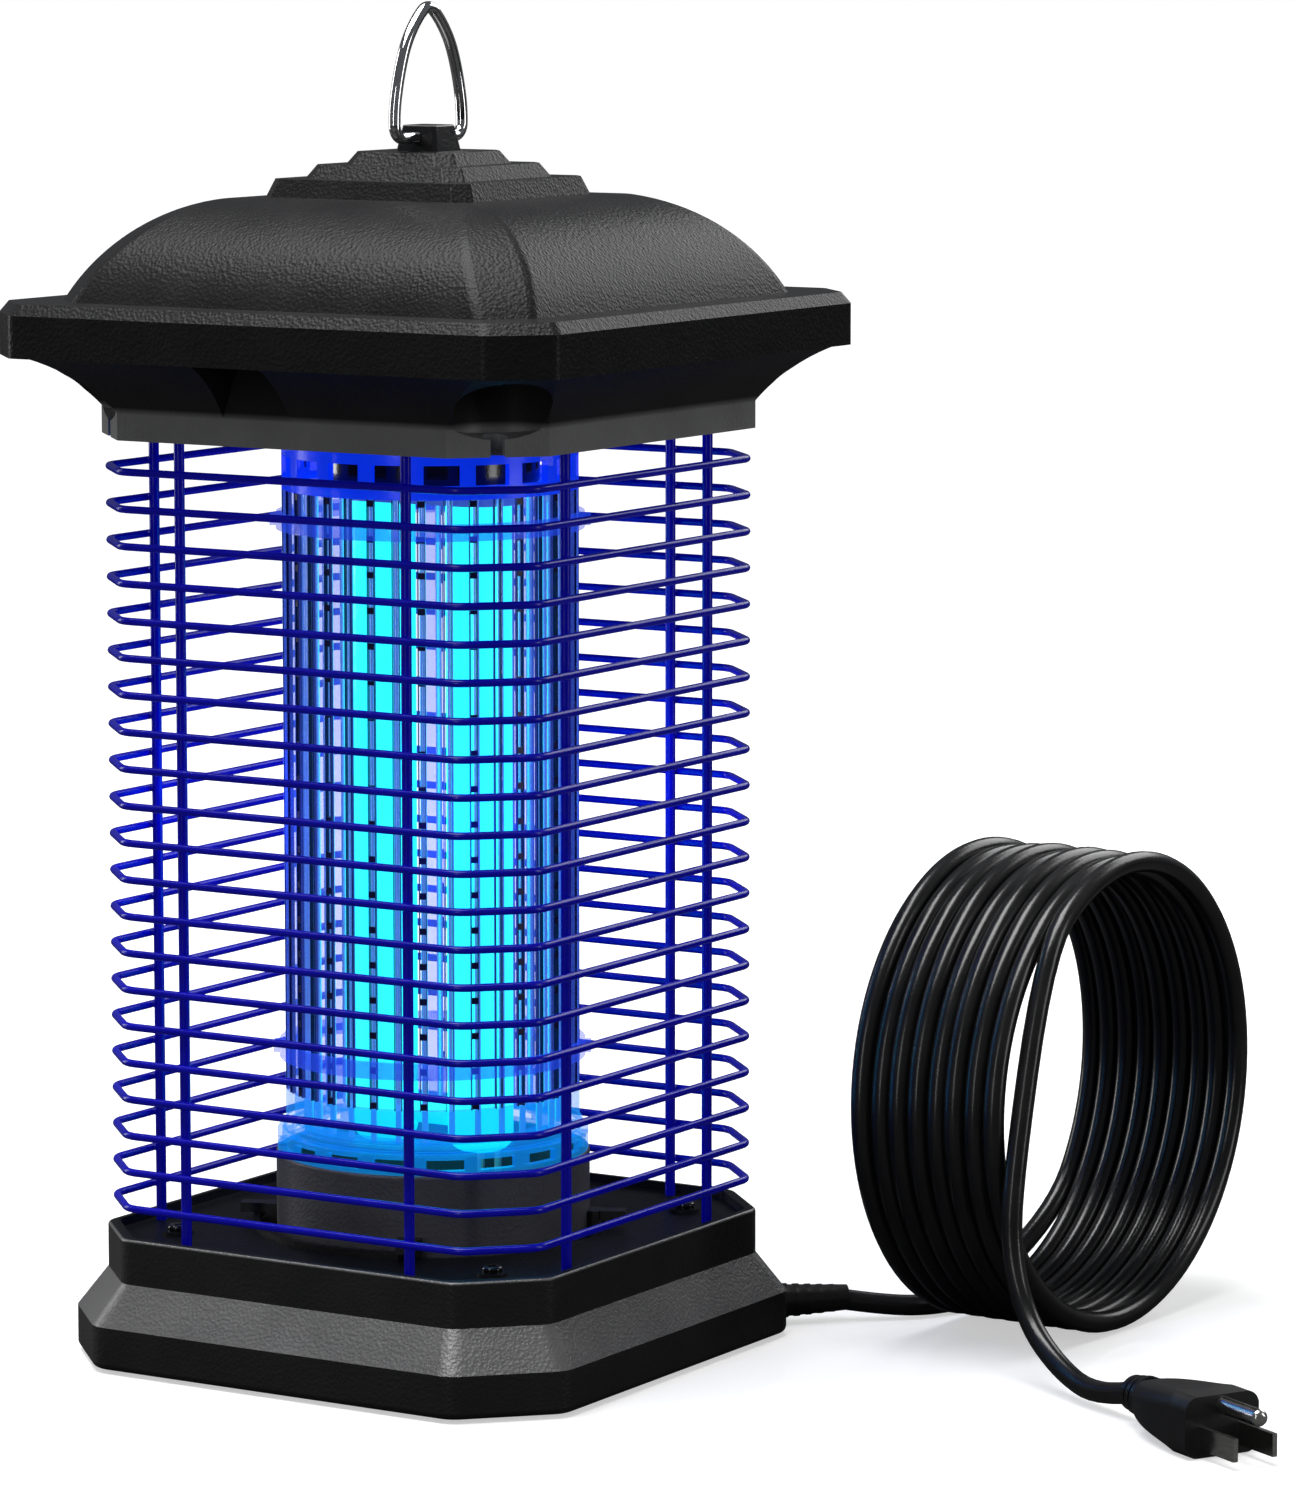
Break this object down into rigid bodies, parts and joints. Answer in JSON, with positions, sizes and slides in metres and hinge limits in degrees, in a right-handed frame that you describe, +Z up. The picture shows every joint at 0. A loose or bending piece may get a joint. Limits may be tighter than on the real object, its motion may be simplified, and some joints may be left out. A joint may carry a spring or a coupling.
{
  "type": "electric bug zapper",
  "caption": "Lantern-shaped electric insect zapper: octagonal base and domed roof, wire cage round a lit lamp and grid, hanging ring, twist-off cup, mains cord.",
  "frame": {"origin": "on the floor below the middle of the lantern, without its cord", "axes": "+Z up; -Y is the side with the small pocket in the upper housing; the cord leaves towards +X +Y"},
  "size_m": [0.369, 0.2843, 0.3883],
  "materials": {
    "textured_black": "fine leather grain",
    "collar_grey": "fine leather grain",
    "gloss_black": "polished",
    "cup_black": "satin",
    "rubber_black": "satin",
    "plug_black": "satin",
    "steel": "zinc plated",
    "chrome_wire": "polished",
    "nickel": "nickel plated",
    "cage_blue": "gloss powder coat",
    "insulator_blue": "translucent",
    "sleeve_blue": "translucent",
    "lamp_glow": "lit",
    "lamp_white": "moulded",
    "board_green": "solder mask",
    "coil_copper": "enamelled wire",
    "capacitor_red": "epoxy dipped",
    "lead_white": "insulation"
  },
  "bodies": {
    "root": {"base_housing": "textured_black", "bottom_plate": "textured_black", "upper_housing": "textured_black", "roof_cover": "textured_black", "collar": "collar_grey", "hanger_lug": "gloss_black", "collar_catches": "gloss_black", "lamp_holder": "gloss_black", "terminal_block": "gloss_black", "deck_screws": "gloss_black", "housing_screws": "gloss_black", "rubber_feet": "rubber_black", "cord_gland": "rubber_black", "roof_seal": "rubber_black", "plug_relief": "rubber_black", "cord_lead": "rubber_black", "cord_coil": "rubber_black", "cord_tail": "rubber_black", "plug_body": "plug_black", "bottom_plate_screws": "steel", "lug_washer": "steel", "lug_nut": "steel", "grid_rods": "steel", "plug_blades": "nickel", "plug_ground_pin": "nickel", "cage_ring_01": "cage_blue", "cage_ring_02": "cage_blue", "cage_ring_03": "cage_blue", "cage_ring_04": "cage_blue", "cage_ring_05": "cage_blue", "cage_ring_06": "cage_blue", "cage_ring_07": "cage_blue", "cage_ring_08": "cage_blue", "cage_ring_09": "cage_blue", "cage_ring_10": "cage_blue", "cage_ring_11": "cage_blue", "cage_ring_12": "cage_blue", "cage_ring_13": "cage_blue", "cage_ring_14": "cage_blue", "cage_ring_15": "cage_blue", "cage_ring_16": "cage_blue", "cage_ring_17": "cage_blue", "cage_ring_18": "cage_blue", "cage_ring_19": "cage_blue", "cage_ring_20": "cage_blue", "cage_ring_21": "cage_blue", "cage_uprights": "cage_blue", "grid_ring_bottom": "insulator_blue", "grid_ring_top": "insulator_blue", "sleeve_hoops": "insulator_blue", "grid_sleeve": "sleeve_blue", "lamp_glass": "lamp_glow", "lamp_cap": "lamp_white", "power_board": "board_green", "hv_transformer": "coil_copper", "hv_capacitors": "capacitor_red", "lamp_leads": "lead_white"},
    "ring": {"hanging_ring": "chrome_wire"},
    "seal": {"cup_seal": "rubber_black"},
    "cup": {"collection_cup": "cup_black"}
  },
  "joints": [
    {"name": "ring_swing", "type": "hinge", "parent": "root", "child": "ring", "pos_m": [0, 0, 0.3499], "axis": [0, 1, 0], "range_deg": [-88, 88]},
    {"name": "cup_drop", "type": "slide", "parent": "root", "child": "seal", "axis": [0, 0, -1], "range_m": [0, 0.00401]},
    {"name": "cup_turn", "type": "hinge", "parent": "seal", "child": "cup", "pos_m": [0, 0, 0.015], "axis": [0, 0, -1], "range_deg": [0, 40]}
  ],
  "couplings": [
    {"joint": "cup_drop", "follows": "cup_turn", "m_per_rad": 0.00573}
  ]
}
